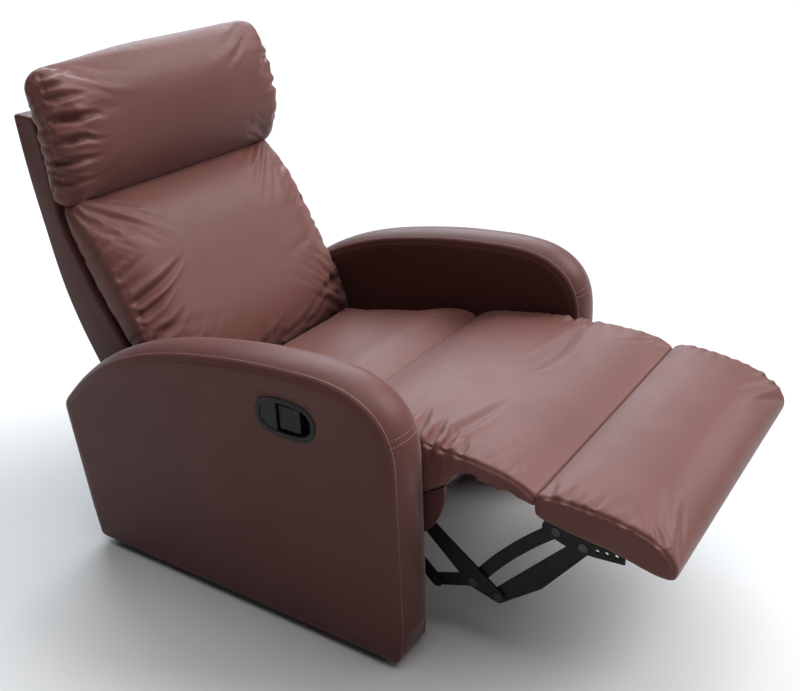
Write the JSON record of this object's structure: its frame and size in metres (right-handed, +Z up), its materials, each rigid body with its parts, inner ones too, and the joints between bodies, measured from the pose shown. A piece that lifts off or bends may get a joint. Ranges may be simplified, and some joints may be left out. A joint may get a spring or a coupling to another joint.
{
  "type": "recliner armchair",
  "caption": "Leather recliner armchair: two rounded arms, lifting footrest on folding linkages, reclining back with a headrest pillow, pull-handle release in one arm.",
  "frame": {"origin": "on the floor, under the middle of the chair's outline with its footrest out", "axes": "+X to the sitter's left, +Y to the back, +Z up; the chair faces -Y"},
  "size_m": [0.802, 1.34, 0.9511],
  "materials": {
    "arm_leather": "semi-gloss dark reddish brown",
    "seat_leather": "semi-gloss dark reddish brown, softer grain",
    "back_leather": "semi-gloss dark reddish brown",
    "black_steel": "satin black",
    "fastener_steel": "black zinc, satin",
    "spring_steel": "bare",
    "timber": "sawn, unfinished",
    "dust_cloth": "thin black dust cloth, over the footrest board and the seat's front",
    "webbing": "woven elastic",
    "black_plastic": "matte",
    "handle_plastic": "satin black",
    "cable_housing": "matte"
  },
  "bodies": {
    "base": {"arm_bolts": "fastener_steel", "arm_cover_left": "arm_leather", "arm_cover_right": "arm_leather", "arm_frame_left": "timber", "arm_frame_right": "timber", "base_cross_tube_front": "black_steel", "base_cross_tube_rear": "black_steel", "foot_front_left": "black_plastic", "foot_front_right": "black_plastic", "foot_rear_left": "black_plastic", "foot_rear_right": "black_plastic", "handle_cup": "handle_plastic", "handle_pivot_pin": "fastener_steel", "latch_bracket": "black_steel", "release_cable": "cable_housing", "track_rail_left": "black_steel", "track_rail_right": "black_steel"},
    "handle": {"release_paddle": "handle_plastic"},
    "seat": {"front_cushion": "seat_leather", "glide_shoes": "black_plastic", "seat_cross_rails": "timber", "seat_cushion": "seat_leather", "seat_front_apron": "dust_cloth", "seat_pivot_rivets": "fastener_steel", "seat_plate_left": "black_steel", "seat_plate_right": "black_steel", "seat_side_panel_left": "arm_leather", "seat_side_panel_right": "arm_leather", "seat_side_rail_left": "timber", "seat_side_rail_right": "timber", "seat_springs": "spring_steel"},
    "footrest": {"bridge_cushion": "seat_leather", "footrest_board": "dust_cloth", "footrest_bracket_left": "black_steel", "footrest_bracket_right": "black_steel", "footrest_cushion": "seat_leather", "footrest_rivets": "fastener_steel", "footrest_screws": "fastener_steel"},
    "lift_cranks": {"crank_rivets": "fastener_steel", "lift_crank_left": "black_steel", "lift_crank_right": "black_steel", "torque_tube": "black_steel"},
    "guide_crank_left": {"guide_crank_left": "black_steel", "guide_rivet_left": "fastener_steel"},
    "guide_crank_right": {"guide_crank_right": "black_steel", "guide_rivet_right": "fastener_steel"},
    "boom_link_left": {"boom_link_left": "black_steel"},
    "boom_link_right": {"boom_link_right": "black_steel"},
    "front_bar_left": {"front_bar_left": "black_steel"},
    "front_bar_right": {"front_bar_right": "black_steel"},
    "back": {"back_bolts": "fastener_steel", "back_bracket_left": "black_steel", "back_bracket_right": "black_steel", "back_cover": "back_leather", "back_cross_rails": "timber", "back_side_rail_left": "timber", "back_side_rail_right": "timber", "back_straps": "webbing", "head_cushion": "seat_leather", "lumbar_cushion": "seat_leather"}
  },
  "joints": [
    {"name": "handle_pull", "type": "hinge", "parent": "base", "child": "handle", "pos_m": [-0.394, -0.013, 0.449], "axis": [0, 0, -1], "range_deg": [0, 35], "stiffness_Nm_per_rad": 0.05, "springref_deg": -20.05},
    {"name": "seat_glide", "type": "slide", "parent": "base", "child": "seat", "axis": [0, 1, 0], "range_m": [0, 0.055]},
    {"name": "footrest_fold", "type": "hinge", "parent": "seat", "child": "footrest", "pos_m": [0, -0.3525, 0.4225], "axis": [1, 0, 0], "range_deg": [0, 80]},
    {"name": "lift_crank_turn", "type": "hinge", "parent": "seat", "child": "lift_cranks", "pos_m": [0, -0.2025, 0.2625], "axis": [1, 0, 0], "range_deg": [0, 80]},
    {"name": "back_recline", "type": "hinge", "parent": "seat", "child": "back", "pos_m": [0, 0.395, 0.235], "axis": [-1, 0, 0], "range_deg": [-12, 28]},
    {"name": "guide_crank_turn_left", "type": "hinge", "parent": "seat", "child": "guide_crank_left", "pos_m": [0.2815, -0.1275, 0.2355], "axis": [1, 0, 0], "range_deg": [0, 80]},
    {"name": "boom_link_turn_left", "type": "hinge", "parent": "lift_cranks", "child": "boom_link_left", "pos_m": [0.276, -0.32, 0.152], "axis": [1, 0, 0], "range_deg": [-80, 0]},
    {"name": "front_bar_turn_left", "type": "hinge", "parent": "lift_cranks", "child": "front_bar_left", "pos_m": [0.276, -0.368, 0.139], "axis": [1, 0, 0], "range_deg": [-80, 0]},
    {"name": "guide_crank_turn_right", "type": "hinge", "parent": "seat", "child": "guide_crank_right", "pos_m": [-0.2815, -0.1275, 0.2355], "axis": [1, 0, 0], "range_deg": [0, 80]},
    {"name": "boom_link_turn_right", "type": "hinge", "parent": "lift_cranks", "child": "boom_link_right", "pos_m": [-0.276, -0.32, 0.152], "axis": [1, 0, 0], "range_deg": [-80, 0]},
    {"name": "front_bar_turn_right", "type": "hinge", "parent": "lift_cranks", "child": "front_bar_right", "pos_m": [-0.276, -0.368, 0.139], "axis": [1, 0, 0], "range_deg": [-80, 0]}
  ],
  "couplings": [
    {"joint": "seat_glide", "follows": "footrest_fold", "m_per_rad": 0.039391},
    {"joint": "lift_crank_turn", "follows": "footrest_fold", "ratio": 1},
    {"joint": "guide_crank_turn_left", "follows": "footrest_fold", "ratio": 1},
    {"joint": "boom_link_turn_left", "follows": "footrest_fold", "ratio": -1},
    {"joint": "front_bar_turn_left", "follows": "footrest_fold", "ratio": -1},
    {"joint": "guide_crank_turn_right", "follows": "footrest_fold", "ratio": 1},
    {"joint": "boom_link_turn_right", "follows": "footrest_fold", "ratio": -1},
    {"joint": "front_bar_turn_right", "follows": "footrest_fold", "ratio": -1}
  ]
}
